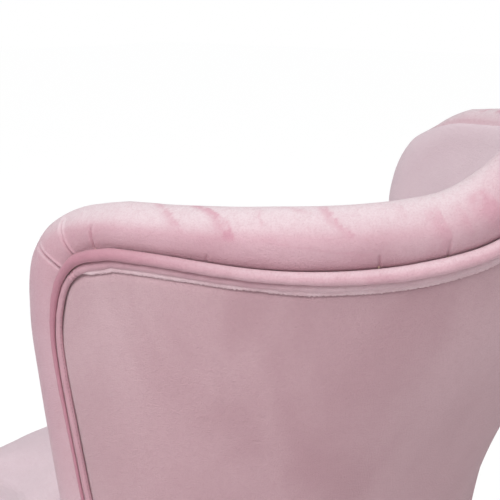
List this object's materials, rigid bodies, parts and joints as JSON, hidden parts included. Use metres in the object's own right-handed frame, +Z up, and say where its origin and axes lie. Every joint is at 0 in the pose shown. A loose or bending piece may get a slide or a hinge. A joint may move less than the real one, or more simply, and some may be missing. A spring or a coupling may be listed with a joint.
{
  "type": "glider nursery chair",
  "caption": "Upholstered tub chair for a nursery that glides on swing links and turns on a ring base, with a padded roll and twin piping round its edge.",
  "frame": {"origin": "on the floor, under the middle of the chair's footprint", "axes": "+Z up, the chair faces -Y, its right arm is on the +X side"},
  "size_m": [0.7712, 0.7214, 1.0057],
  "materials": {
    "velvet": "soft pale pink velvet with a short nap",
    "webbing": "dark woven elastic",
    "felt": "grey needled felt",
    "birch_ply": "raw birch plywood",
    "beech": "satin lacquered beech",
    "black_steel": "satin black powder coat",
    "zinc_steel": "zinc plated steel",
    "nylon": "natural nylon",
    "pad_rubber": "black rubber"
  },
  "bodies": {
    "base": {"floor_glides": "pad_rubber", "base_ring": "beech", "base_cross": "black_steel", "ring_screws": "zinc_steel", "lower_bearing_plate": "zinc_steel", "bearing_cage": "nylon", "king_bolt": "zinc_steel", "king_nut": "zinc_steel"},
    "swivel": {"swivel_plate": "zinc_steel", "plate_bolts": "zinc_steel", "carrier_frame": "black_steel", "stop_studs": "pad_rubber", "upper_pivot_pins": "zinc_steel", "hanger_front_right": "black_steel", "hanger_front_left": "black_steel", "hanger_rear_right": "black_steel", "hanger_rear_left": "black_steel"},
    "front_links": {"link_front_right": "zinc_steel", "link_front_left": "zinc_steel", "front_link_bushes": "nylon"},
    "rear_links": {"link_rear_right": "zinc_steel", "link_rear_left": "zinc_steel", "rear_link_bushes": "nylon"},
    "seat_unit": {"lower_pivot_pins": "zinc_steel", "bracket_screws": "zinc_steel", "front_rail": "birch_ply", "back_rail": "birch_ply", "corner_blocks": "birch_ply", "seat_webbing": "webbing", "deck_pad": "felt", "seat_cushion": "velvet", "front_border": "velvet", "back_board": "birch_ply", "back_top_rail": "birch_ply", "back_pad": "velvet", "edge_roll": "velvet", "outer_panel": "velvet", "welt_outer": "velvet", "welt_inner": "velvet", "seat_bracket_front_right": "black_steel", "seat_bracket_front_left": "black_steel", "seat_bracket_rear_right": "black_steel", "seat_bracket_rear_left": "black_steel", "side_rail_right": "birch_ply", "side_rail_left": "birch_ply", "runner_right": "birch_ply", "runner_left": "birch_ply", "arm_board_right": "birch_ply", "arm_board_left": "birch_ply", "arm_frame_right": "birch_ply", "arm_frame_left": "birch_ply", "wing_post_right": "birch_ply", "wing_post_left": "birch_ply", "arm_pad_right": "velvet", "arm_pad_left": "velvet"}
  },
  "joints": [
    {"name": "swivel_turn", "type": "hinge", "parent": "base", "child": "swivel", "pos_m": [0, -0.053, 0.044], "axis": [0, 0, 1], "continuous": true},
    {"name": "front_link_swing", "type": "hinge", "parent": "swivel", "child": "front_links", "pos_m": [0, -0.234, 0.192], "axis": [1, 0, 0], "range_deg": [-24, 24]},
    {"name": "seat_level", "type": "hinge", "parent": "front_links", "child": "seat_unit", "pos_m": [0, -0.234, 0.08], "axis": [1, 0, 0], "range_deg": [-24, 24]},
    {"name": "rear_link_swing", "type": "hinge", "parent": "swivel", "child": "rear_links", "pos_m": [0, -0.078, 0.192], "axis": [1, 0, 0], "range_deg": [-24, 24]}
  ],
  "couplings": [
    {"joint": "seat_level", "follows": "front_link_swing", "ratio": -1},
    {"joint": "rear_link_swing", "follows": "front_link_swing", "ratio": 1}
  ]
}
